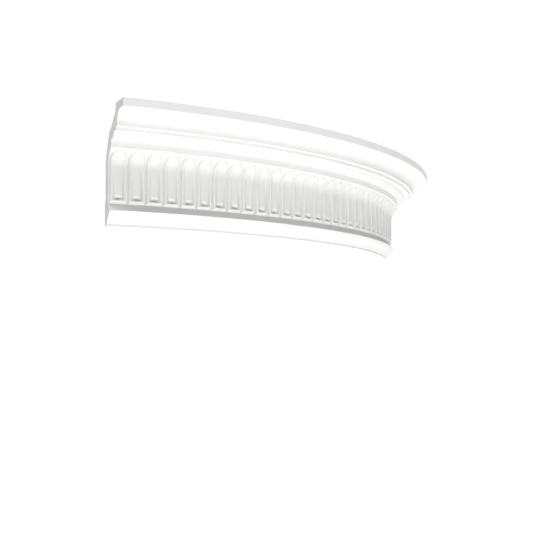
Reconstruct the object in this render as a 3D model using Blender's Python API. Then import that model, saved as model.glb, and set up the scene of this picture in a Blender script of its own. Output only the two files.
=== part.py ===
"""A length of cornice moulding with a fluted band, bent round a convex wall.

It is one cast piece. It stands on its bottom edge as it would sit on the wall: +Z is up, -Y is
the front, and the origin is at the middle of its bounding box, at the height of the underside.
A point of the section is a pair: how far it projects from the wall, and its height above the
underside. The section is carried round the wall's centre, flute by flute.
"""

from math import asin, atan2, cos, hypot, pi, radians, sin

import bmesh
import bpy

# The run, in metres and degrees.
WALL_RADIUS = 0.642
ARC_DEGREES = 60.0

# The foot of the section, from the underside up to the groove under the flutes.
LIP_PROJECTION = 0.0074
LIP_HEIGHT = 0.0026
LIP_STEP = 0.0010
OGEE_HEIGHT = 0.0130
TORUS_PROJECTION = 0.0198
TORUS_HEIGHT = 0.0014
TORUS_BULGE = 0.0004
GROOVE_HEIGHT = 0.0074

# The fluted band: a flat floor that flares outwards at its top.
FLOOR_PROJECTION = 0.0148
GROOVE_DEPTH = 0.0013
GROOVE_EASE = 0.0026
BAND_HEIGHT = 0.0602
FLARE_DEPTH = 0.0116
FLARE_HEIGHT = 0.0205

# One flute: a raised tongue with an arched top, a rim and a sunk field.
FLUTE_PITCH = 0.0216
FLUTE_RELIEF = 0.0028
FIELD_SINK = 0.0012
FIELD_HOLLOW = 0.0003
VALLEY_FLOOR = 0.0008
VALLEY_SLOPE = 0.0023
RIM_WIDTH = 0.0017
FIELD_SLOPE = 0.0018
ARCH_GAP = 0.0001
ARCH_SLOPE = 0.0034
TONGUE_LIFT = 0.0003
LIP_SLOPE = 0.0024
LIP_WIDTH = 0.0009
LEDGE_SLOPE = 0.0027

# The members above the band, in order going up.
FRIEZE_STEP = 0.0012
FRIEZE_CHAMFER = 0.0005
FRIEZE_HEIGHT = 0.0076
OVOLO_FOOT_STEP = 0.0030
OVOLO_FOOT_HEIGHT = 0.0006
OVOLO_DEPTH = 0.0080
OVOLO_HEIGHT = 0.0057
QUIRK_DEPTH = 0.0003
QUIRK_HEIGHT = 0.0009
FILLET_STEP = 0.0087
FILLET_HEIGHT = 0.0038
BEAD_SLOPE = 0.0004
BEAD_STEP = 0.0040
BEAD_HEIGHT = 0.0014
COVE_DEPTH = 0.0067
COVE_HEIGHT = 0.0129
COVE_HOLLOW = 0.0018
SOFFIT_CHAMFER = 0.0022
SOFFIT_DEPTH = 0.0155
FASCIA_HEIGHT = 0.0094

# The hollow back, which touches only the wall at its foot and the ceiling at its top.
FOOT_HEIGHT = 0.0270
BACK_RELIEF = 0.0031
RELIEF_CHAMFER = 0.0018
BACK_SPRING = 0.0155
SHELL_AT_FILLET = 0.0276
SHELL_AT_BEAD = 0.0243
BACK_BULGE = 0.0020
CEILING_SEAT = 0.0300
BACK_EDGE_HEIGHT = 0.0070

# How finely curves are faceted.
ARCH_STEPS = 8
OGEE_STEPS = 4
OVOLO_STEPS = 3
COVE_STEPS = 3
BACK_STEPS = 3
MERGE_DISTANCE = 0.00001
SMOOTH_BELOW_DEGREES = 25.0

# Heights and projections that follow from the sizes above.
TORUS_FOOT_Z = LIP_HEIGHT + OGEE_HEIGHT
GROOVE_Z = TORUS_FOOT_Z + TORUS_HEIGHT + GROOVE_HEIGHT
BAND_TOP_Z = GROOVE_Z + BAND_HEIGHT
FLARE_Z = BAND_TOP_Z - FLARE_HEIGHT
BAND_TOP_PROJECTION = FLOOR_PROJECTION + FLARE_DEPTH
FRIEZE_PROJECTION = BAND_TOP_PROJECTION + FRIEZE_STEP
FRIEZE_Z = BAND_TOP_Z + FRIEZE_CHAMFER
OVOLO_PROJECTION = FRIEZE_PROJECTION + OVOLO_FOOT_STEP
OVOLO_Z = FRIEZE_Z + FRIEZE_HEIGHT + OVOLO_FOOT_HEIGHT
FILLET_PROJECTION = OVOLO_PROJECTION + OVOLO_DEPTH + QUIRK_DEPTH + FILLET_STEP
FILLET_Z = OVOLO_Z + OVOLO_HEIGHT + QUIRK_HEIGHT
BEAD_PROJECTION = FILLET_PROJECTION + BEAD_STEP
BEAD_Z = FILLET_Z + FILLET_HEIGHT + BEAD_SLOPE
COVE_Z = BEAD_Z + BEAD_HEIGHT
SOFFIT_PROJECTION = BEAD_PROJECTION + COVE_DEPTH + SOFFIT_CHAMFER
SOFFIT_Z = COVE_Z + COVE_HEIGHT + SOFFIT_CHAMFER
PROJECTION = SOFFIT_PROJECTION + SOFFIT_DEPTH
HEIGHT = SOFFIT_Z + FASCIA_HEIGHT

# The run is a whole number of flutes, so both ends are cut in the middle of a valley.
BAND_RADIUS = WALL_RADIUS + FLOOR_PROJECTION
FLUTE_COUNT = max(1, round(radians(ARC_DEGREES) * BAND_RADIUS / FLUTE_PITCH))
FLUTE_ANGLE = radians(ARC_DEGREES) / FLUTE_COUNT
HALF_PITCH = FLUTE_ANGLE * BAND_RADIUS / 2

# The arch of every outline of a flute springs from one height, above the bend of the flare. The
# crest's arch is half a circle, and the slope outside it is wider over the crown than at the
# sides.
FOOT_HALF_WIDTH = HALF_PITCH - VALLEY_FLOOR / 2
CREST_HALF_WIDTH = FOOT_HALF_WIDTH - VALLEY_SLOPE
FOOT_RISE = CREST_HALF_WIDTH + ARCH_SLOPE
SPRING_Z = BAND_TOP_Z - ARCH_GAP - FOOT_RISE
BEND_Z = min(FLARE_Z, SPRING_Z - ARCH_GAP)

# The wall's centre lies behind the piece, so that the bounding box is centred on the origin.
WALL_CENTRE_Y = (WALL_RADIUS + PROJECTION + WALL_RADIUS * cos(radians(ARC_DEGREES / 2))) / 2


def bowed(start, end, bulge, steps):
    """Points from start to end along a circular arc that leaves the chord by the bulge, to its
    right. The start is left out and the end is kept."""
    du, dz = end[0] - start[0], end[1] - start[1]
    half = hypot(du, dz) / 2
    radius = (half ** 2 + bulge ** 2) / (2 * abs(bulge))
    reach = asin(min(1.0, half / radius))
    side = 1 if bulge > 0 else -1
    points = []
    for step in range(1, steps + 1):
        turn = reach * (2 * step / steps - 1)
        along = half + radius * sin(turn)
        off = side * (radius * cos(turn) - radius * cos(reach))
        points.append((start[0] + (du * along + dz * off) / (2 * half),
                       start[1] + (dz * along - du * off) / (2 * half)))
    return points


def foot_members():
    """The front outline from the underside up to the inner corner of the groove."""
    ogee_foot = (LIP_PROJECTION + LIP_STEP, LIP_HEIGHT)
    torus_foot = (TORUS_PROJECTION, TORUS_FOOT_Z)
    points = [(LIP_PROJECTION, 0.0), (LIP_PROJECTION, LIP_HEIGHT), ogee_foot]
    for step in range(1, OGEE_STEPS):
        # The ogee is hollow below and full above, and starts and ends nearly upright.
        share = step / OGEE_STEPS
        swing = (share + (1 - cos(pi * share)) / 2) / 2
        points.append((ogee_foot[0] + swing * (torus_foot[0] - ogee_foot[0]),
                       ogee_foot[1] + share * (torus_foot[1] - ogee_foot[1])))
    points.append(torus_foot)
    torus_top = (TORUS_PROJECTION, TORUS_FOOT_Z + TORUS_HEIGHT)
    points += bowed(torus_foot, torus_top, TORUS_BULGE, 2)
    points.append((FLOOR_PROJECTION - GROOVE_DEPTH, GROOVE_Z))
    return points


def upper_members():
    """The front outline from the top of the band up to the ceiling."""
    ovolo_foot = (OVOLO_PROJECTION, OVOLO_Z)
    quirk_foot = (OVOLO_PROJECTION + OVOLO_DEPTH, OVOLO_Z + OVOLO_HEIGHT)
    points = [(BAND_TOP_PROJECTION, BAND_TOP_Z),
              (FRIEZE_PROJECTION, FRIEZE_Z),
              (FRIEZE_PROJECTION, FRIEZE_Z + FRIEZE_HEIGHT),
              ovolo_foot]
    for step in range(1, OVOLO_STEPS + 1):
        # A quarter of an ellipse, level at its foot and upright at its top.
        turn = pi / 2 * step / OVOLO_STEPS
        points.append((ovolo_foot[0] + OVOLO_DEPTH * sin(turn),
                       quirk_foot[1] - OVOLO_HEIGHT * cos(turn)))
    points += [(quirk_foot[0] + QUIRK_DEPTH, FILLET_Z),
               (FILLET_PROJECTION, FILLET_Z),
               (FILLET_PROJECTION, FILLET_Z + FILLET_HEIGHT),
               (BEAD_PROJECTION, BEAD_Z),
               (BEAD_PROJECTION, COVE_Z)]
    cove_top = (BEAD_PROJECTION + COVE_DEPTH, COVE_Z + COVE_HEIGHT)
    points += bowed((BEAD_PROJECTION, COVE_Z), cove_top, -COVE_HOLLOW, COVE_STEPS)
    points += [(SOFFIT_PROJECTION, SOFFIT_Z),
               (PROJECTION, SOFFIT_Z),
               (PROJECTION, HEIGHT)]
    return points


def back_members():
    """The back outline from the ceiling down to the underside."""
    step_outer = (BEAD_PROJECTION - SHELL_AT_BEAD, COVE_Z + BEAD_HEIGHT)
    step_inner = (FILLET_PROJECTION - SHELL_AT_FILLET, BEAD_Z)
    relief_top = (BACK_RELIEF, BAND_TOP_Z - BACK_SPRING)
    points = [(PROJECTION - CEILING_SEAT, HEIGHT),
              (PROJECTION - CEILING_SEAT, HEIGHT - BACK_EDGE_HEIGHT),
              step_outer,
              step_inner]
    points += bowed(step_inner, relief_top, BACK_BULGE, BACK_STEPS)
    points += [(BACK_RELIEF, FOOT_HEIGHT + RELIEF_CHAMFER),
               (0.0, FOOT_HEIGHT),
               (0.0, 0.0)]
    return points


def floor_projection(z):
    """How far the floor between the flutes projects at a height."""
    if z < FLARE_Z:
        drop = max(0.0, GROOVE_Z + GROOVE_EASE - z) / GROOVE_EASE
        return FLOOR_PROJECTION - GROOVE_DEPTH * drop
    radius = (FLARE_HEIGHT ** 2 + FLARE_DEPTH ** 2) / (2 * FLARE_DEPTH)
    rise = min(z - FLARE_Z, radius)
    return FLOOR_PROJECTION + radius - (radius ** 2 - rise ** 2) ** 0.5


def place(angle, projection, z):
    """A point of the piece, at an angle round the wall from its middle."""
    radius = WALL_RADIUS + projection
    return (radius * sin(angle), WALL_CENTRE_Y - radius * cos(angle), z)


def tongue_outline(half_width, rise, foot_z):
    """Half widths and heights round a tongue, from its right foot over the arch to its left
    foot, and then the middle of its foot."""
    right = [(half_width, foot_z), (half_width, BEND_Z)]
    arch = []
    for step in range(ARCH_STEPS + 1):
        turn = pi * step / ARCH_STEPS
        arch.append((half_width * cos(turn), SPRING_Z + rise * sin(turn)))
    left = [(-half_width, BEND_Z), (-half_width, foot_z)]
    return right + arch + left + [(0.0, foot_z)]


def border_outline():
    """The edge of one flute's share of the band, point for point like a tongue's outline."""
    outline = []
    for x, z in tongue_outline(HALF_PITCH, HALF_PITCH, GROOVE_Z):
        if z > SPRING_Z:
            # The arch is opened out to the square corner of the band, which lies at one half.
            way = atan2(z - SPRING_Z, abs(x)) / (pi / 2)
            side = 1 if x > 0 else -1
            x = side * HALF_PITCH * min(1.0, 2 - 2 * way)
            z = SPRING_Z + (BAND_TOP_Z - SPRING_Z) * min(1.0, 2 * way)
        outline.append((x, z))
    return outline


def ring(mesh, middle, outline, raised):
    """The vertices of one outline of a flute, raised above the floor of the band."""
    vertices = []
    for x, z in outline:
        angle = middle + x / BAND_RADIUS
        vertices.append(mesh.verts.new(place(angle, floor_projection(z) + raised, z)))
    return vertices


def bridge(mesh, outer, inner):
    """Faces between two outlines with as many points."""
    count = len(outer)
    for i in range(count):
        j = (i + 1) % count
        mesh.faces.new((outer[i], outer[j], inner[j], inner[i]))


def add_field(mesh, middle, edge, outline, raised):
    """The hollow floor of a flute's field, as two rows of faces either side of its middle."""
    last = len(outline) - 2
    crown = last // 2
    spine = []
    for i in range(1, crown):
        z = outline[i][1]
        spine.append(mesh.verts.new(place(middle, floor_projection(z) + raised - FIELD_HOLLOW, z)))
    spine = [edge[-1]] + spine + [edge[crown]]
    for i in range(crown):
        right = [edge[i], edge[i + 1], spine[i + 1], spine[i]]
        left = [edge[last - i], spine[i], spine[i + 1], edge[last - i - 1]]
        for face in (right, left):
            mesh.faces.new(list(dict.fromkeys(face)))


def add_flute(mesh, middle):
    """One flute with its share of the band. It returns the border's vertices between the
    corners, from left to right, along the top and along the foot."""
    inner_half = CREST_HALF_WIDTH - RIM_WIDTH
    field_half = inner_half - FIELD_SLOPE
    foot_z = GROOVE_Z + TONGUE_LIFT
    crest_z = foot_z + LIP_SLOPE
    inner_z = crest_z + LIP_WIDTH
    foot_outline = tongue_outline(FOOT_HALF_WIDTH, FOOT_RISE, foot_z)
    crest_outline = tongue_outline(CREST_HALF_WIDTH, CREST_HALF_WIDTH, crest_z)
    inner_outline = tongue_outline(inner_half, inner_half, inner_z)
    field_outline = tongue_outline(field_half, field_half, inner_z + LEDGE_SLOPE)
    field_raised = FLUTE_RELIEF - FIELD_SINK
    edge = border_outline()
    border = ring(mesh, middle, edge, 0.0)
    foot = ring(mesh, middle, foot_outline, 0.0)
    crest = ring(mesh, middle, crest_outline, FLUTE_RELIEF)
    inner = ring(mesh, middle, inner_outline, FLUTE_RELIEF)
    field = ring(mesh, middle, field_outline, field_raised)
    for outer, inside in ((border, foot), (foot, crest), (crest, inner), (inner, field)):
        bridge(mesh, outer, inside)
    add_field(mesh, middle, field, field_outline, field_raised)
    along_top = [vertex for vertex, (x, z) in zip(border, edge)
                 if z > BAND_TOP_Z - MERGE_DISTANCE and abs(x) < HALF_PITCH - MERGE_DISTANCE]
    return along_top[::-1], [border[-1]]


def add_run(mesh, middle, along_top, along_foot):
    """The plain members over one flute's length. The first and the last of their faces take in
    the points that the band has between its corners."""
    plain = upper_members() + back_members() + foot_members()
    sides = []
    for side in (-1, 1):
        angle = middle + side * FLUTE_ANGLE / 2
        sides.append([mesh.verts.new(place(angle, u, z)) for u, z in plain])
    left, right = sides
    last = len(plain) - 2
    for i in range(last + 1):
        below = along_top if i == 0 else []
        above = along_foot if i == last else []
        mesh.faces.new([left[i]] + below + [right[i], right[i + 1]] + above[::-1] + [left[i + 1]])


def cornice_mesh():
    """The whole length as one closed mesh."""
    mesh = bmesh.new()
    for number in range(FLUTE_COUNT):
        middle = (number + 0.5) * FLUTE_ANGLE - radians(ARC_DEGREES) / 2
        along_top, along_foot = add_flute(mesh, middle)
        add_run(mesh, middle, along_top, along_foot)
    bmesh.ops.remove_doubles(mesh, verts=mesh.verts, dist=MERGE_DISTANCE)
    open_edges = [edge for edge in mesh.edges if edge.is_boundary]
    bmesh.ops.holes_fill(mesh, edges=open_edges, sides=0)
    bmesh.ops.recalc_face_normals(mesh, faces=mesh.faces)
    bmesh.ops.triangulate(mesh, faces=mesh.faces)
    return mesh


def matt_white():
    """The matt white of the cast piece."""
    material = bpy.data.materials.new("matt_white")
    material.use_nodes = True
    shader = material.node_tree.nodes["Principled BSDF"]
    shader.inputs["Base Color"].default_value = (0.85, 0.85, 0.84, 1.0)
    shader.inputs["Roughness"].default_value = 0.6
    shader.inputs["Metallic"].default_value = 0.0
    return material


def main():
    for thing in list(bpy.data.objects):
        bpy.data.objects.remove(thing, do_unlink=True)
    mesh = cornice_mesh()
    data = bpy.data.meshes.new("cornice_moulding")
    mesh.to_mesh(data)
    mesh.free()
    data.materials.append(matt_white())
    data.shade_smooth()
    data.set_sharp_from_angle(angle=radians(SMOOTH_BELOW_DEGREES))
    cornice = bpy.data.objects.new("cornice_moulding", data)
    bpy.context.scene.collection.objects.link(cornice)
    print("cornice:", FLUTE_COUNT, "flutes,", len(data.polygons), "triangles, height",
          round(HEIGHT, 4), "projection", round(PROJECTION, 4))


main()
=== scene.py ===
# %% [markdown]
# # A length of fluted cornice
#
# This notebook dresses one casting: a cornice moulding bent to an even curve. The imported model
# gives its place and its size. Here the same form is made again with rounded edges, full
# curves and finely turned flutes, and it is given the matt primer of the real one.

from math import asin, atan2, cos, degrees, hypot, pi, radians, sin

import bmesh
import bpy
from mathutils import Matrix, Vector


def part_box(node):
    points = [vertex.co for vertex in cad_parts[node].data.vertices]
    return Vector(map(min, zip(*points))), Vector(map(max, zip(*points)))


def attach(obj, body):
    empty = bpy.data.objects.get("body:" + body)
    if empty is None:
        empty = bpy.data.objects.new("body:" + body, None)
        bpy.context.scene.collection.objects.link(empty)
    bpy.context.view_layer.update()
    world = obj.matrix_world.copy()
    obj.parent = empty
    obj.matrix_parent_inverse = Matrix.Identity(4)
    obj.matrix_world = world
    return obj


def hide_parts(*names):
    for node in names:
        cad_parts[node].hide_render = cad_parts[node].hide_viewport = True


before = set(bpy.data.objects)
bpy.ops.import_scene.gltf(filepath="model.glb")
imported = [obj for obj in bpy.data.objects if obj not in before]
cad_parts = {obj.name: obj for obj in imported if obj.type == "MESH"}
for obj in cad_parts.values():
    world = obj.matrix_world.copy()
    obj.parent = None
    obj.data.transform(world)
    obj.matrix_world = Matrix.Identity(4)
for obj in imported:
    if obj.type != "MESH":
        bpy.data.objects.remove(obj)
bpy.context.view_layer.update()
low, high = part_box("cornice_moulding")
print("the node is", [round(side * 1000, 1) for side in high - low], "mm")

# %% [markdown]
# ## Tools for the bench
#
# Edit mode works on whatever is selected, so one helper picks things by a test and drops the
# rest. A second one does the same for whole objects.

# %% Selection and objects
MM = 0.001
WELD_MM = 0.01
WELD = WELD_MM * MM


def pick(kind, test):
    """In edit mode, selects the vertices, edges or faces that pass a test, and nothing else."""
    bpy.ops.mesh.select_mode(type=kind)
    bpy.ops.mesh.select_all(action="DESELECT")
    mesh = bmesh.from_edit_mesh(bpy.context.edit_object.data)
    group = {"VERT": mesh.verts, "EDGE": mesh.edges, "FACE": mesh.faces}[kind]
    chosen = [item for item in group if test(item)]
    for item in chosen:
        item.select_set(True)
    mesh.select_flush_mode()
    bmesh.update_edit_mesh(bpy.context.edit_object.data)
    return len(chosen)


def alone(thing):
    """Makes an object the active one and the only one selected."""
    bpy.ops.object.select_all(action="DESELECT")
    thing.select_set(True)
    bpy.context.view_layer.objects.active = thing


# %% [markdown]
# ## The section in numbers
#
# A run moulding is one section carried along a line. Each member has a name that a plasterer
# would know, from the bottom lip up to the fascia along the top. A point of the section is a
# pair in millimetres: how far it stands out from the back of the foot, and its height.

# %% Sizes of the members
LIP_OUT, LIP_HEIGHT, LIP_STEP = 7.4, 2.6, 1.0
OGEE_HEIGHT = 13.0
TORUS_OUT, TORUS_HEIGHT, TORUS_BULGE = 19.8, 1.4, 0.4
GROOVE_HEIGHT, GROOVE_DEPTH, GROOVE_EASE = 7.4, 1.3, 2.6
FLOOR_OUT, BAND_HEIGHT = 14.8, 60.2
FLARE_DEPTH, FLARE_HEIGHT = 11.6, 20.5
FRIEZE_STEP, FRIEZE_CHAMFER, FRIEZE_HEIGHT = 1.2, 0.5, 7.6
OVOLO_FOOT_STEP, OVOLO_FOOT_HEIGHT = 3.0, 0.6
OVOLO_DEPTH, OVOLO_HEIGHT = 8.0, 5.7
QUIRK_DEPTH, QUIRK_HEIGHT = 0.3, 0.9
FILLET_STEP, FILLET_HEIGHT = 8.7, 3.8
BEAD_SLOPE, BEAD_STEP, BEAD_HEIGHT = 0.4, 4.0, 1.4
COVE_DEPTH, COVE_HEIGHT, COVE_HOLLOW = 6.7, 12.9, 1.8
SOFFIT_CHAMFER, SOFFIT_DEPTH = 2.2, 15.5
FASCIA_HEIGHT = 9.4
FOOT_HEIGHT, BACK_RELIEF, RELIEF_CHAMFER = 27.0, 3.1, 1.8
SHELL_AT_FILLET, SHELL_AT_BEAD, BACK_BULGE = 27.6, 24.3, 2.0
BACK_SPRING = 15.5
CEILING_SEAT, BACK_EDGE_HEIGHT = 30.0, 7.0

TORUS_FOOT_Z = LIP_HEIGHT + OGEE_HEIGHT
GROOVE_Z = TORUS_FOOT_Z + TORUS_HEIGHT + GROOVE_HEIGHT
BAND_TOP_Z = GROOVE_Z + BAND_HEIGHT
FLARE_Z = BAND_TOP_Z - FLARE_HEIGHT
BAND_TOP_OUT = FLOOR_OUT + FLARE_DEPTH
FRIEZE_OUT = BAND_TOP_OUT + FRIEZE_STEP
FRIEZE_TOP_Z = BAND_TOP_Z + FRIEZE_CHAMFER + FRIEZE_HEIGHT
OVOLO_OUT = FRIEZE_OUT + OVOLO_FOOT_STEP
OVOLO_Z = FRIEZE_TOP_Z + OVOLO_FOOT_HEIGHT
FILLET_OUT = OVOLO_OUT + OVOLO_DEPTH + QUIRK_DEPTH + FILLET_STEP
FILLET_Z = OVOLO_Z + OVOLO_HEIGHT + QUIRK_HEIGHT
BEAD_OUT = FILLET_OUT + BEAD_STEP
BEAD_Z = FILLET_Z + FILLET_HEIGHT + BEAD_SLOPE
COVE_Z = BEAD_Z + BEAD_HEIGHT
SOFFIT_OUT = BEAD_OUT + COVE_DEPTH + SOFFIT_CHAMFER
SOFFIT_Z = COVE_Z + COVE_HEIGHT + SOFFIT_CHAMFER
PROJECTION = SOFFIT_OUT + SOFFIT_DEPTH
HEIGHT = SOFFIT_Z + FASCIA_HEIGHT
print("section", PROJECTION, "x", HEIGHT, "mm")

# %% [markdown]
# ## The circle it is bent to
#
# The node's box holds the bend: its front is the fascia's radius in front of the circle's
# centre, and its back corners are the ends of the foot. The run is a whole number of flutes,
# so that each end is sawn in the middle of a valley.

# %% Measure the bend
WALL_RADIUS, ARC_DEGREES, FLUTES = 642.0, 60.0, 32
band_radius = WALL_RADIUS + FLOOR_OUT
flute_angle = radians(ARC_DEGREES) / FLUTES
pitch = flute_angle * band_radius
wall_centre_y = low.y / MM + WALL_RADIUS + PROJECTION
print("pitch", round(pitch, 2), "mm, centre of the bend at y", round(wall_centre_y, 1), "mm")

# %% [markdown]
# ## Curves of the section
#
# Three rules draw every curve of the outline: an arc bowed off its chord, a quarter of an
# ellipse for the ovolo, and a swing between two uprights for the ogee. Where two flats meet,
# the real mould has a small radius, which catches the light along each edge, so the corners
# are rounded last.

# %% Rules for curves
EDGE_RADIUS, EDGE_STEPS, ARM_SHARE = 0.45, 4, 0.4
CURVE_STEPS = 12
CORNER_DEGREES = 18.0


def bowed(start, end, bulge, steps=CURVE_STEPS):
    """Points after the start, up to the end, along an arc that leaves the chord to its right."""
    du, dz = end[0] - start[0], end[1] - start[1]
    half = hypot(du, dz) / 2
    radius = (half ** 2 + bulge ** 2) / (2 * abs(bulge))
    reach = asin(half / radius)
    side = 1 if bulge > 0 else -1
    points = []
    for step in range(1, steps + 1):
        turn = reach * (2 * step / steps - 1)
        along = half + radius * sin(turn)
        off = side * radius * (cos(turn) - cos(reach))
        points.append((start[0] + (du * along + dz * off) / (2 * half),
                       start[1] + (dz * along - du * off) / (2 * half)))
    return points


def turn_at(before, point, after):
    """How far the outline turns at a point, in degrees, and its two arms."""
    a = (before[0] - point[0], before[1] - point[1])
    b = (after[0] - point[0], after[1] - point[1])
    bend = atan2(a[0] * b[1] - a[1] * b[0], a[0] * b[0] + a[1] * b[1])
    return 180 - abs(degrees(bend)), a, b


def rounded(points):
    """The outline with its sharp corners rounded, and its ends as they are."""
    soft = [points[0]]
    for before, point, after in zip(points, points[1:], points[2:]):
        turn, a, b = turn_at(before, point, after)
        if turn < CORNER_DEGREES:
            soft.append(point)
            continue
        cut = min(EDGE_RADIUS, ARM_SHARE * hypot(*a), ARM_SHARE * hypot(*b))
        start = (point[0] + a[0] * cut / hypot(*a), point[1] + a[1] * cut / hypot(*a))
        end = (point[0] + b[0] * cut / hypot(*b), point[1] + b[1] * cut / hypot(*b))
        for step in range(EDGE_STEPS + 1):
            t = step / EDGE_STEPS
            soft.append(tuple((1 - t) ** 2 * start[k] + 2 * t * (1 - t) * point[k] + t * t * end[k]
                              for k in (0, 1)))
    return soft + [points[-1]]


# %% [markdown]
# ## The outline above the flutes and down the back
#
# The upper members step and curve out to the fascia. Behind them the casting is hollow: it
# follows the front at the thickness of its shell, so that it bears only on the flat seat on
# its top and on the back of its foot.

# %% Draw the upper outline and the back
def upper_outline():
    """From the top of the flutes out and up to the top of the fascia."""
    points = [(BAND_TOP_OUT, BAND_TOP_Z),
              (FRIEZE_OUT, BAND_TOP_Z + FRIEZE_CHAMFER),
              (FRIEZE_OUT, FRIEZE_TOP_Z),
              (OVOLO_OUT, OVOLO_Z)]
    for step in range(1, CURVE_STEPS + 1):
        turn = pi / 2 * step / CURVE_STEPS
        points.append((OVOLO_OUT + OVOLO_DEPTH * sin(turn),
                       OVOLO_Z + OVOLO_HEIGHT * (1 - cos(turn))))
    points += [(OVOLO_OUT + OVOLO_DEPTH + QUIRK_DEPTH, FILLET_Z),
               (FILLET_OUT, FILLET_Z), (FILLET_OUT, FILLET_Z + FILLET_HEIGHT),
               (BEAD_OUT, BEAD_Z), (BEAD_OUT, COVE_Z)]
    cove_top = (BEAD_OUT + COVE_DEPTH, COVE_Z + COVE_HEIGHT)
    points += bowed((BEAD_OUT, COVE_Z), cove_top, -COVE_HOLLOW)
    return points + [(SOFFIT_OUT, SOFFIT_Z), (PROJECTION, SOFFIT_Z), (PROJECTION, HEIGHT)]


def back_outline():
    """From the top of the fascia over the seat and down the hollow back to the underside."""
    step_in = (FILLET_OUT - SHELL_AT_FILLET, BEAD_Z)
    points = [(PROJECTION, HEIGHT),
              (PROJECTION - CEILING_SEAT, HEIGHT),
              (PROJECTION - CEILING_SEAT, HEIGHT - BACK_EDGE_HEIGHT),
              (BEAD_OUT - SHELL_AT_BEAD, COVE_Z + BEAD_HEIGHT),
              step_in]
    points += bowed(step_in, (BACK_RELIEF, BAND_TOP_Z - BACK_SPRING), BACK_BULGE)
    points += [(BACK_RELIEF, FOOT_HEIGHT + RELIEF_CHAMFER), (0.0, FOOT_HEIGHT), (0.0, 0.0)]
    return points


# %% [markdown]
# ## The outline below the flutes
#
# From the groove the outline comes out to the torus, and falls away in an ogee to a thin lip
# at the bottom.

# %% Draw the foot
TORUS_STEPS = 4


def foot_outline():
    """From the inner corner of the groove down to the front edge of the underside."""
    torus_top = (TORUS_OUT, TORUS_FOOT_Z + TORUS_HEIGHT)
    torus_foot = (TORUS_OUT, TORUS_FOOT_Z)
    lip_edge = (LIP_OUT + LIP_STEP, LIP_HEIGHT)
    points = [(FLOOR_OUT - GROOVE_DEPTH, GROOVE_Z), torus_top]
    points += bowed(torus_top, torus_foot, -TORUS_BULGE, TORUS_STEPS)
    for step in range(1, CURVE_STEPS + 1):
        share = step / CURVE_STEPS
        swing = (share + (1 - cos(pi * share)) / 2) / 2
        points.append((torus_foot[0] + swing * (lip_edge[0] - torus_foot[0]),
                       torus_foot[1] + share * (lip_edge[1] - torus_foot[1])))
    return points + [(LIP_OUT, LIP_HEIGHT), (LIP_OUT, 0.0)]


around = rounded(upper_outline() + back_outline()[1:])
under = rounded(foot_outline())
print("outline points:", len(around), "and", len(under))

# %% [markdown]
# ## One flute, drawn flat
#
# Each flute is a tongue with a round head. Its outline is half a circle, drawn up a little,
# with two straight sides pulled down from it, closed by a foot. The foot's points are kept to
# its middle, so that the lines carved inside it stay clear of the corners. It is drawn flat,
# standing upright and facing the front, because a flat tile is easy to carve and to copy. The
# bend comes at the very end.

# %% Outline of the tongue
VALLEY_FLOOR, VALLEY_SLOPE, ARCH_SLOPE = 0.8, 2.3, 3.4
ARCH_GAP, TONGUE_LIFT = 0.1, 0.3
ARCH_STEPS, SIDE_STEPS, FOOT_CUTS, GROUND_CUTS = 16, 3, 7, 2
FOOT_SHARE = 0.425
half_pitch = pitch / 2
tongue_half = half_pitch - VALLEY_FLOOR / 2
tongue_rise = tongue_half - VALLEY_SLOPE + ARCH_SLOPE
spring_z = BAND_TOP_Z - ARCH_GAP - tongue_rise
foot_z = GROOVE_Z + TONGUE_LIFT
bend_z = min(FLARE_Z, spring_z - ARCH_GAP)

bpy.ops.object.select_all(action="DESELECT")
bpy.ops.mesh.primitive_circle_add(vertices=2 * ARCH_STEPS, radius=tongue_half * MM,
                                  location=(0, 0, spring_z * MM), rotation=(pi / 2, 0, 0))
tile = bpy.context.object
tile.name = "flute_tile"
bpy.ops.object.transform_apply(location=True, rotation=True, scale=True)
bpy.ops.object.mode_set(mode="EDIT")
pick("VERT", lambda v: v.co.z < spring_z * MM - WELD)
bpy.ops.mesh.delete(type="VERT")
for vertex in bmesh.from_edit_mesh(tile.data).verts:
    vertex.co.z = (spring_z + (vertex.co.z / MM - spring_z) * tongue_rise / tongue_half) * MM
pick("VERT", lambda v: v.co.z < spring_z * MM + WELD)
for drop in [(spring_z - bend_z) / SIDE_STEPS] * SIDE_STEPS + [bend_z - foot_z]:
    bpy.ops.mesh.extrude_region_move(TRANSFORM_OT_translate={"value": (0, 0, -drop * MM)})
bpy.ops.mesh.edge_face_add()
pick("EDGE", lambda e: all(v.co.z < foot_z * MM + WELD for v in e.verts))
bpy.ops.mesh.subdivide(number_cuts=FOOT_CUTS)
for vertex in bmesh.from_edit_mesh(tile.data).verts:
    if vertex.co.z < foot_z * MM + WELD and abs(vertex.co.x) < tongue_half * MM - WELD:
        vertex.co.x *= FOOT_SHARE
pick("VERT", lambda v: True)
bpy.ops.mesh.edge_face_add()
if any(face.normal.y > 0 for face in bmesh.from_edit_mesh(tile.data).faces):
    bpy.ops.mesh.flip_normals()
print("tongue outline has", len(bmesh.from_edit_mesh(tile.data).verts), "points")

# %% [markdown]
# ## The ground between the tongues
#
# The outline's edges are extruded and the new points are pushed out to the edge of the tile: up
# to the square corners beside the arch, which leaves the spandrels, and down to the groove. The
# ground is then cut in rings, so that it can follow the flare.

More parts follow.
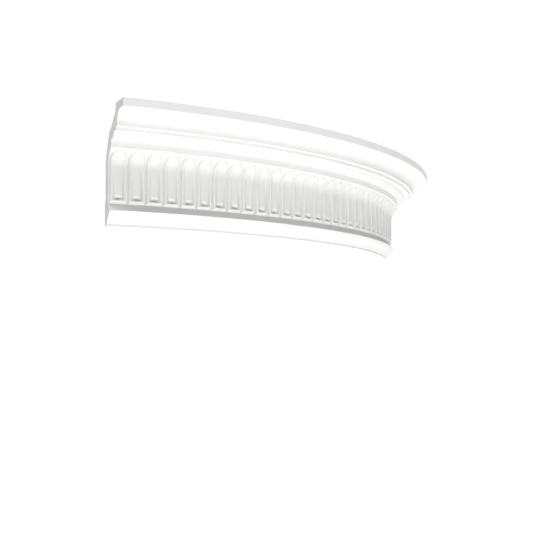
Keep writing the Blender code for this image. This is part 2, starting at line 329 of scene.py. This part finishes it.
# %% Push the border out
def to_border(x, z):
    """Where a point of the tongue's outline lands on the edge of the tile."""
    if z > spring_z + WELD_MM:
        way = atan2((z - spring_z) / tongue_rise, abs(x) / tongue_half) / (pi / 2)
        side = 1 if x > 0 else -1
        return (side * half_pitch * min(1.0, 2 - 2 * way),
                spring_z + (BAND_TOP_Z - spring_z) * min(1.0, 2 * way))
    if z < foot_z + WELD_MM:
        corner = abs(x) > tongue_half - WELD_MM
        return x * (1 if corner else 1 / FOOT_SHARE) * half_pitch / tongue_half, GROOVE_Z
    return x * half_pitch / tongue_half, z


pick("EDGE", lambda e: True)
bpy.ops.mesh.extrude_edges_move()
shell = bmesh.from_edit_mesh(tile.data)
for vertex in shell.verts:
    if vertex.select:
        x, z = to_border(vertex.co.x / MM, vertex.co.z / MM)
        vertex.co.x, vertex.co.z = x * MM, z * MM
bmesh.update_edit_mesh(tile.data)
pick("EDGE", lambda e: e.verts[0].is_boundary != e.verts[1].is_boundary)
bpy.ops.mesh.subdivide(number_cuts=GROUND_CUTS)

# %% [markdown]
# ## Carve by insets
#
# A carver works inwards from the outline, and so does the inset tool. Each step gives how far
# the next line lies inside the last one, and how much higher it is. They climb out of the
# valley, roll over the rim, and drop into the field.

# %% Valley, rim and field
RIM_STEPS = (
    (0.30, 0.36), (0.50, 0.62), (0.55, 0.68), (0.55, 0.62), (0.50, 0.34),
    (0.50, 0.14), (0.50, 0.04), (0.40, -0.08),
    (0.40, -0.20), (0.42, -0.30), (0.42, -0.30), (0.42, -0.22), (0.40, -0.10),
)


GROUND_CORNERS = 4


def is_tongue(face):
    """True for the face inside the outline, the only one with more corners than the ground's."""
    return len(face.verts) > GROUND_CORNERS


pick("FACE", is_tongue)
for inward, up in RIM_STEPS:
    bpy.ops.mesh.inset(thickness=inward * MM, depth=up * MM)
rim_width = sum(inward for inward, up in RIM_STEPS)
field_half = tongue_half - rim_width
field_up = sum(up for inward, up in RIM_STEPS)
print("field is", round(2 * field_half, 1), "mm wide and stands", round(field_up, 2), "mm up")

# %% [markdown]
# ## Cut up the field
#
# The field is still one face. It has to follow the flare at its top, to be slightly hollow from
# side to side, and to be scooped out behind the lip at its foot, so it is sliced level by level
# and from left to right. Two spare rows over the scoop keep its smooth shading from running up
# into the field.

# %% Slice the field
FIELD_ROWS, SCOOP_ROWS, SPARE_ROWS = 10, 5, 2
SCOOP_HEIGHT, SCOOP_DEPTH, SCOOP_BEND = 3.5, 3.6, 1.5
field_top = spring_z + tongue_rise - rim_width
field_foot = foot_z + rim_width
levels = [bend_z + (field_top - bend_z) * row / FIELD_ROWS for row in range(FIELD_ROWS)]
levels += [field_foot + SCOOP_HEIGHT * row / SCOOP_ROWS
           for row in range(1, SCOOP_ROWS + SPARE_ROWS + 1)]
cuts = [((0, 0, level * MM), (0, 0, 1)) for level in levels]
cuts += [((FOOT_SHARE * tongue_half * (2 * cut / (FOOT_CUTS + 1) - 1) * MM, 0, 0), (1, 0, 0))
         for cut in range(1, FOOT_CUTS + 1)]
for place, normal in cuts:
    pick("FACE", lambda f: all(v.co.y < -(field_up * MM - WELD) for v in f.verts)
         and all(v.co.y > -(field_up * MM + WELD) for v in f.verts)
         and all(abs(v.co.x) < field_half * MM + WELD for v in f.verts))
    bpy.ops.mesh.bisect(plane_co=place, plane_no=normal)
print("tile has", len(bmesh.from_edit_mesh(tile.data).faces), "faces")

# %% [markdown]
# ## Stand the flute on its ground
#
# So far every point knows only how high it stands above the ground. The ground itself is
# upright, flares out in an arc under the frieze, and eases in towards the groove. The field is
# a little hollow from side to side, and is scooped out behind the lip. The head inside the
# outline is lowered until its crest is half a circle, so that the slope over the crown is wider
# than at the sides, and under the crown the field rises in a smooth curve to the crest.

# %% Give the tile its depth
FIELD_HOLLOW = 0.25
CREST_STEPS, LIP_STEPS = 5, 6
slope_width = sum(inward for inward, up in RIM_STEPS[:CREST_STEPS])
crest_half = tongue_half - slope_width
crest_share = crest_half / tongue_half
crest_squeeze = crest_half / (tongue_rise - slope_width)
crest_up = sum(up for inward, up in RIM_STEPS if up > 0)


def head_z(x, z):
    """The height of a point of the head, after the crest is lowered."""
    if z < spring_z:
        return z
    inside = 1 - hypot(x / tongue_half, (z - spring_z) / tongue_rise)
    share = min(1.0, max(0.0, inside / (1 - crest_share)))
    return spring_z + (z - spring_z) * (1 - share * (1 - crest_squeeze))


def head_up(x, up, z):
    """The relief of a point of the head, which is scooped out up to the crest at the crown."""
    rise = z - spring_z
    near = hypot(x / tongue_half, rise / tongue_rise) / crest_share
    if rise < WELD_MM or near > 1:
        return up
    crown = rise ** 2 / (x ** 2 + rise ** 2)
    return up + crown * (field_up + (crest_up - field_up) * near ** 2 - up)


def hollow_at(z):
    """How hollow the field is at a height: evenly, then less and less up into the head."""
    if z < field_foot - WELD_MM:
        return 0.0
    return FIELD_HOLLOW * min(1.0, max(0.0, (field_top - z) / (field_top - spring_z)))


def scoop_at(z):
    """How deep the scoop is at a height: it starts behind the lip and ends up in the field."""
    lip_z = foot_z + sum(inward for inward, up in RIM_STEPS[:LIP_STEPS])
    if z < field_foot:
        return SCOOP_DEPTH * max(0.0, (z - lip_z) / (field_foot - lip_z))
    return SCOOP_DEPTH * max(0.0, 1 - (z - field_foot) / SCOOP_HEIGHT) ** SCOOP_BEND


def floor_out(z):
    """How far the ground between the tongues stands out at a height."""
    if z < FLARE_Z:
        return FLOOR_OUT - GROOVE_DEPTH * max(0.0, GROOVE_Z + GROOVE_EASE - z) / GROOVE_EASE
    radius = (FLARE_HEIGHT ** 2 + FLARE_DEPTH ** 2) / (2 * FLARE_DEPTH)
    rise = min(z - FLARE_Z, radius)
    return FLOOR_OUT + radius - (radius ** 2 - rise ** 2) ** 0.5


shell = bmesh.from_edit_mesh(tile.data)
for vertex in shell.verts:
    x, up, z = vertex.co.x / MM, -vertex.co.y / MM, vertex.co.z / MM
    up = head_up(x, up, z)
    if abs(x) < field_half:
        up -= (hollow_at(z) + scoop_at(z)) * (1 - (x / field_half) ** 2)
    z = head_z(x, z)
    vertex.co.y, vertex.co.z = -(floor_out(z) + up) * MM, z * MM
bmesh.update_edit_mesh(tile.data)

# %% [markdown]
# ## Run the members
#
# The other members are plain, so they are run: the tile's top edge is extruded along the
# outline, over the seat on top and down the back, and its bottom edge along the foot. The two
# runs meet along the front edge of the underside, where they are welded.

# %% Extrude along the outline
def run(edge_z, points):
    """Extrudes the tile's level edge at a height along an outline that starts on it."""
    pick("EDGE", lambda e: e.is_boundary and all(abs(v.co.z - edge_z * MM) < WELD for v in e.verts))
    for here, there in zip(points, points[1:]):
        step = (0, (here[0] - there[0]) * MM, (there[1] - here[1]) * MM)
        bpy.ops.mesh.extrude_edges_move(TRANSFORM_OT_translate={"value": step})


run(BAND_TOP_Z, around + [(LIP_OUT, 0.0)])
run(GROOVE_Z, under)
bpy.ops.mesh.select_all(action="SELECT")
bpy.ops.mesh.remove_doubles(threshold=WELD)
bpy.ops.mesh.normals_make_consistent(inside=False)
bpy.ops.object.mode_set(mode="OBJECT")
print("tile with its members has", len(tile.data.polygons), "faces")

# %% [markdown]
# ## Repeat the tile and saw the ends
#
# An array sets the tiles side by side and welds them. What is left open is the two sawn ends,
# and each is filled with one flat face that gets its own material slot.

# %% Array and ends
repeat = tile.modifiers.new("repeat", "ARRAY")
repeat.count = FLUTES
repeat.use_relative_offset = False
repeat.use_constant_offset = True
repeat.constant_offset_displace = (pitch * MM, 0, 0)
repeat.use_merge_vertices = True
repeat.merge_threshold = WELD
alone(tile)
bpy.ops.object.modifier_apply(modifier="repeat")
bpy.ops.object.mode_set(mode="EDIT")
run_half = FLUTES * pitch / 2
for vertex in bmesh.from_edit_mesh(tile.data).verts:
    vertex.co.x -= (run_half - half_pitch) * MM
for side in (-1, 1):
    found = pick("EDGE", lambda e: e.is_boundary and all(v.co.x * side > 0 for v in e.verts))
    bpy.ops.mesh.edge_face_add()
    print("sawn end closed over", found, "edges")
bpy.ops.mesh.select_all(action="SELECT")
bpy.ops.mesh.normals_make_consistent(inside=False)
bpy.ops.object.mode_set(mode="OBJECT")

# %% [markdown]
# ## Bend it
#
# The real one follows a curve in plan. A curve modifier could bend the straight length, but a
# short sum for each point is exact: distance along it becomes an angle round the circle's
# centre, true at the ground between the flutes, and depth becomes radius.

# %% Bend
SHARP_DEGREES = 40.0
cornice = tile
cornice.name = "fluted_cornice"
cornice.data.name = "fluted_cornice"
for vertex in cornice.data.vertices:
    angle = vertex.co.x / (band_radius * MM)
    radius = WALL_RADIUS * MM - vertex.co.y
    vertex.co.x = radius * sin(angle)
    vertex.co.y = wall_centre_y * MM - radius * cos(angle)
bpy.ops.object.shade_smooth_by_angle(angle=radians(SHARP_DEGREES))
print("bent cornice has", len(cornice.data.polygons), "faces")

# %% [markdown]
# ## Colours and nodes
#
# Colours are picked as sRGB hex values, as from a paint chart, and turned to the linear values
# that shaders use. One small helper adds a node with its settings and links.

# %% Helpers for materials
def linear(hex_colour):
    """The linear colour, with alpha, of an sRGB hex value."""
    shades = [int(hex_colour[i:i + 2], 16) / 255 for i in (1, 3, 5)]
    return [s / 12.92 if s <= 0.04045 else ((s + 0.055) / 1.055) ** 2.4 for s in shades] + [1.0]


def add(tree, kind, values=None, links=None, **settings):
    """Adds a node, sets its options and inputs, and links its inputs to outputs."""
    node = tree.nodes.new(kind)
    for name, value in settings.items():
        setattr(node, name, value)
    for name, value in (values or {}).items():
        node.inputs[name].default_value = value
    for name, output in (links or {}).items():
        tree.links.new(output, node.inputs[name])
    return node


# %% [markdown]
# ## Primed polyurethane skin
#
# The casting is high-density polyurethane foam. Its skin forms against the mould and is primed
# white, so it is matt and even, with a very faint orange peel from the sprayed primer and a
# slight unevenness of tone. Grains of primer are under 0.3 mm, too fine to show, so the peel
# is drawn at 1.2 mm.

# %% Primer
PEEL_MM, PEEL_HEIGHT_MM = 1.2, 0.012
PEEL_DETAIL, PEEL_STRENGTH = 2.0, 0.5
TONE_MM, TONE_DETAIL = 60.0, 3.0
SKIN_ROUGHNESS, SKIN_IOR = 0.55, 1.48


def primed_skin():
    """Matt white primer on a moulded skin."""
    material = bpy.data.materials.new("primed_polyurethane_skin")
    material.use_nodes = True
    tree = material.node_tree
    shader = tree.nodes["Principled BSDF"]
    shader.inputs["Roughness"].default_value = SKIN_ROUGHNESS
    shader.inputs["IOR"].default_value = SKIN_IOR
    place = add(tree, "ShaderNodeTexCoord").outputs["Object"]
    tone = add(tree, "ShaderNodeTexNoise", {"Scale": 1 / (TONE_MM * MM), "Detail": TONE_DETAIL},
               {"Vector": place})
    colour = add(tree, "ShaderNodeMix", links={"Factor": tone.outputs["Fac"]}, data_type="RGBA")
    colour.inputs["A"].default_value = linear("#DDDDDC")
    colour.inputs["B"].default_value = linear("#E3E3E2")
    tree.links.new(colour.outputs["Result"], shader.inputs["Base Color"])
    peel = add(tree, "ShaderNodeTexNoise", {"Scale": 1 / (PEEL_MM * MM), "Detail": PEEL_DETAIL},
               {"Vector": place})
    bump = add(tree, "ShaderNodeBump",
               {"Strength": PEEL_STRENGTH, "Distance": PEEL_HEIGHT_MM * MM},
               {"Height": peel.outputs["Fac"]})
    tree.links.new(bump.outputs["Normal"], shader.inputs["Normal"])
    return material


# %% [markdown]
# ## Sawn foam
#
# The ends are sawn, so they show the foam inside: duller, rough, and full of fine pores. The
# pores are about 0.2 mm and are drawn at 0.7 mm to show at all. The foam's own colour is off-white,
# and each pore's pit is painted a little darker, which is painted shade in the pores.

# %% Foam
PORE_MM, PORE_DEPTH_MM = 0.7, 0.06
PORE_EDGE, PORE_STRENGTH = 0.45, 0.6
FOAM_ROUGHNESS = 0.9


def sawn_foam():
    """Cut polyurethane foam with fine pores, their pits painted darker as painted shade."""
    material = bpy.data.materials.new("sawn_polyurethane_foam")
    material.use_nodes = True
    tree = material.node_tree
    shader = tree.nodes["Principled BSDF"]
    shader.inputs["Roughness"].default_value = FOAM_ROUGHNESS
    place = add(tree, "ShaderNodeTexCoord").outputs["Object"]
    pores = add(tree, "ShaderNodeTexVoronoi", {"Scale": 1 / (PORE_MM * MM)}, {"Vector": place})
    depth = add(tree, "ShaderNodeMapRange", {"From Min": 0.0, "From Max": PORE_EDGE},
                {"Value": pores.outputs["Distance"]})
    # Painted shade: the foam's off-white is mixed darker towards the bottom of each pore's pit.
    colour = add(tree, "ShaderNodeMix", links={"Factor": depth.outputs["Result"]},
                 data_type="RGBA")
    colour.inputs["A"].default_value = linear("#DDDCDA")
    colour.inputs["B"].default_value = linear("#E4E3E1")
    tree.links.new(colour.outputs["Result"], shader.inputs["Base Color"])
    bump = add(tree, "ShaderNodeBump",
               {"Strength": PORE_STRENGTH, "Distance": PORE_DEPTH_MM * MM},
               {"Height": depth.outputs["Result"]})
    tree.links.new(bump.outputs["Normal"], shader.inputs["Normal"])
    return material


# %% Dress the cornice
SAWN_CORNERS = 60
cornice.data.materials.append(primed_skin())
cornice.data.materials.append(sawn_foam())
for face in cornice.data.polygons:
    face.material_index = 1 if len(face.vertices) > SAWN_CORNERS else 0
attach(cornice, "root")
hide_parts("cornice_moulding")

# %% [markdown]
# ## Floor and light
#
# A cornice belongs high up in a room and is seen from below, so the pale floor is far under
# it. A large soft lamp low in front lights the undersides of the members, and a white
# sheet high overhead lights the fascia and the floor. White paper stands behind the cornice.
# The rest of the room is dim, which leaves the hollows that face up in soft shade.

# %% Floor
FLOOR_Z, FLOOR_SIDE, FLOOR_ROUGHNESS = -2.4, 60.0, 0.9


def pale_floor():
    """A matt pale floor."""
    material = bpy.data.materials.new("pale_floor")
    material.use_nodes = True
    shader = material.node_tree.nodes["Principled BSDF"]
    shader.inputs["Base Color"].default_value = linear("#D5D5D5")
    shader.inputs["Roughness"].default_value = FLOOR_ROUGHNESS
    return material


bpy.ops.object.select_all(action="DESELECT")
bpy.ops.mesh.primitive_plane_add(size=FLOOR_SIDE, location=(0, 0, FLOOR_Z))
floor = bpy.context.object
floor.name = "floor"
floor.data.materials.append(pale_floor())

# %% Paper, sheet and dim room
PAPER_LIGHT, SHEET_LIGHT, ROOM_LIGHT = 1.03, 5.5, 0.08
PAPER_SIDE, PAPER_EDGE, PAPER_TOP = (0.816, 0.578, 0.0), 0.78, 0.4
SHEET_FROM, SHEET_TO = 0.78, 0.92
world = bpy.data.worlds.new("studio")
world.use_nodes = True
bpy.context.scene.world = world
sky = world.node_tree
aim = add(sky, "ShaderNodeTexCoord").outputs["Generated"]
rise = add(sky, "ShaderNodeSeparateXYZ", links={"Vector": aim}).outputs["Z"]
facing = add(sky, "ShaderNodeVectorMath", {1: PAPER_SIDE}, {0: aim}, operation="DOT_PRODUCT")
beside = add(sky, "ShaderNodeMath", {1: PAPER_EDGE}, {0: facing.outputs["Value"]},
             operation="GREATER_THAN")
below = add(sky, "ShaderNodeMath", {1: PAPER_TOP}, {0: rise}, operation="LESS_THAN")
paper = add(sky, "ShaderNodeMath", links={0: beside.outputs[0], 1: below.outputs[0]},
            operation="MULTIPLY")
room = add(sky, "ShaderNodeMath", {1: PAPER_LIGHT - ROOM_LIGHT, 2: ROOM_LIGHT},
           {0: paper.outputs[0]}, operation="MULTIPLY_ADD")
sheet = add(sky, "ShaderNodeMapRange",
            {"From Min": SHEET_FROM, "From Max": SHEET_TO, "To Max": SHEET_LIGHT},
            {"Value": rise}, interpolation_type="SMOOTHSTEP")
light = add(sky, "ShaderNodeMath", links={0: room.outputs[0], 1: sheet.outputs[0]},
            operation="ADD")
sky.links.new(light.outputs[0], sky.nodes["Background"].inputs["Strength"])
sky.nodes["Background"].inputs["Color"].default_value = linear("#FFFFFF")
bpy.context.scene.view_settings.view_transform = "Standard"

# %% Soft lamp
LAMP_ANGLE, LAMP_BELOW = -32.0, 40.0
LAMP_DISTANCE, LAMP_SIDE, LAMP_WATTS = 2.0, 1.43, 24.5
bpy.ops.object.light_add(type="AREA")
lamp = bpy.context.object
lamp.name = "soft_lamp"
lamp.data.size = LAMP_SIDE
lamp.data.energy = LAMP_WATTS
lamp_reach = LAMP_DISTANCE * cos(radians(LAMP_BELOW))
lamp.location = (lamp_reach * sin(radians(LAMP_ANGLE)),
                 -lamp_reach * cos(radians(LAMP_ANGLE)),
                 -LAMP_DISTANCE * sin(radians(LAMP_BELOW)))
lamp.rotation_euler = (pi / 2 + radians(LAMP_BELOW), 0, radians(LAMP_ANGLE))
lamp.visible_camera = False

# %% [markdown]
# ## Camera
#
# The photograph was taken level, from below the cornice and to the left of its middle. The
# camera's place was worked out from the curves of the moulding's edges.

# %% Camera
EYE_OUT, EYE_DROP = 1.7252, 0.2490
EYE_ANGLE, LOOK_ANGLE = -39.21, -54.75
FOCAL_PIXELS, IMAGE_SIDE = 951.8, 550
CENTRE_PIXEL, HORIZON_PIXEL = 275.5, 331.3
SENSOR_MM = 36.0
lens = bpy.data.cameras.new("camera")
lens.sensor_width = SENSOR_MM
lens.lens = SENSOR_MM * FOCAL_PIXELS / IMAGE_SIDE
lens.shift_x = (IMAGE_SIDE / 2 - CENTRE_PIXEL) / IMAGE_SIDE
lens.shift_y = (HORIZON_PIXEL - IMAGE_SIDE / 2) / IMAGE_SIDE
camera = bpy.data.objects.new("camera", lens)
camera.location = (EYE_OUT * sin(radians(EYE_ANGLE)),
                   wall_centre_y * MM - EYE_OUT * cos(radians(EYE_ANGLE)),
                   high.z - EYE_DROP)
camera.rotation_euler = (pi / 2, 0, radians(LOOK_ANGLE))
bpy.context.scene.collection.objects.link(camera)
bpy.context.scene.camera = camera
